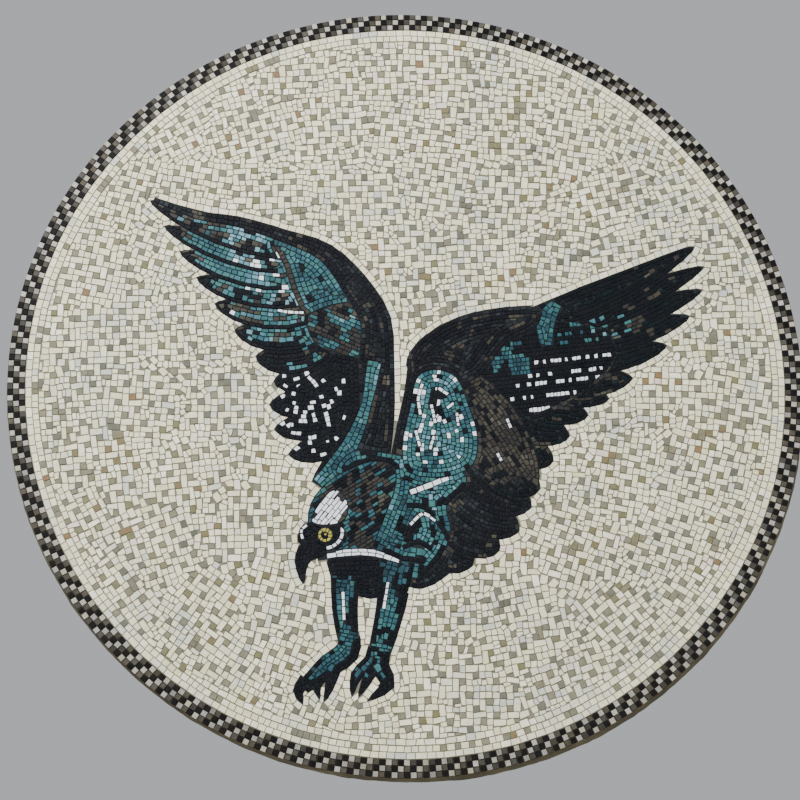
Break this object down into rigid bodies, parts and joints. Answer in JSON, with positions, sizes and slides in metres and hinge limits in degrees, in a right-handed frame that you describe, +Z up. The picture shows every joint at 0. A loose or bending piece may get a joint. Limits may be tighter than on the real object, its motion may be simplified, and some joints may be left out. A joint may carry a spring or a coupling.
{
  "type": "mosaic panel",
  "caption": "Round stone mosaic wall panel: a bird of prey with spread wings on a pale ground, inside a chequered tile border.",
  "frame": {"origin": "centre of the flat back of the mortar slab, where it meets the wall", "axes": "+X to the viewer's right, +Z up, and the tiled face looks along -Y, so the back's outward normal is +Y and the panel lies between y = -0.022 m and y = 0"},
  "size_m": [1.12, 0.022, 1.12],
  "materials": {
    "mortar": "matte",
    "chequer_stone": "matte",
    "cream_stone": "matte",
    "iris_stone": "matte",
    "ink_stone": "matte",
    "white_stone": "matte",
    "brown_stone": "matte",
    "teal_stone": "matte",
    "tan_stone": "matte",
    "border_black_stone": "matte",
    "border_taupe_stone": "matte",
    "border_white_stone": "matte"
  },
  "bodies": {
    "root": {"mortar_slab": "mortar", "border_course_1": "chequer_stone", "border_course_2": "chequer_stone", "border_course_3": "chequer_stone", "ground_edge": "cream_stone", "ground": "cream_stone", "eye": "iris_stone", "beak": "ink_stone", "cheek": "white_stone", "crown": "white_stone", "mask": "ink_stone", "nape": "brown_stone", "left_foot": "teal_stone", "right_foot": "teal_stone", "left_shin": "teal_stone", "right_shin": "teal_stone", "breast": "ink_stone", "shoulder": "teal_stone", "neck": "teal_stone", "near_wing_arm": "ink_stone", "near_wing_bar": "teal_stone", "tertial_1": "brown_stone", "tertial_2": "brown_stone", "tertial_3": "brown_stone", "near_wing_coverts": "ink_stone", "near_wing_primary_1": "ink_stone", "near_wing_primary_2": "ink_stone", "near_wing_primary_3": "ink_stone", "near_wing_primary_4": "ink_stone", "near_wing_primary_5": "ink_stone", "near_wing_primary_6": "ink_stone", "near_wing_secondary_1": "ink_stone", "near_wing_secondary_2": "ink_stone", "near_wing_secondary_3": "ink_stone", "near_wing_secondary_4": "ink_stone", "near_wing_secondary_5": "ink_stone", "tail_feather_1": "ink_stone", "tail_feather_2": "ink_stone", "tail_feather_3": "ink_stone", "tail_feather_4": "ink_stone", "belly": "ink_stone", "far_wing_stripe": "teal_stone", "far_wing_edge": "ink_stone", "far_wing_wrist": "brown_stone", "far_wing_coverts": "teal_stone", "far_wing_primary_1": "teal_stone", "far_wing_primary_2": "teal_stone", "far_wing_primary_3": "teal_stone", "far_wing_primary_4": "teal_stone", "far_wing_primary_5": "teal_stone", "far_wing_primary_6": "teal_stone", "far_wing_primary_7": "teal_stone", "far_wing_underside": "ink_stone", "far_wing_secondary_1": "ink_stone", "far_wing_secondary_2": "ink_stone", "far_wing_secondary_3": "ink_stone", "far_wing_secondary_4": "ink_stone", "far_wing_secondary_5": "ink_stone"}
  },
  "joints": []
}
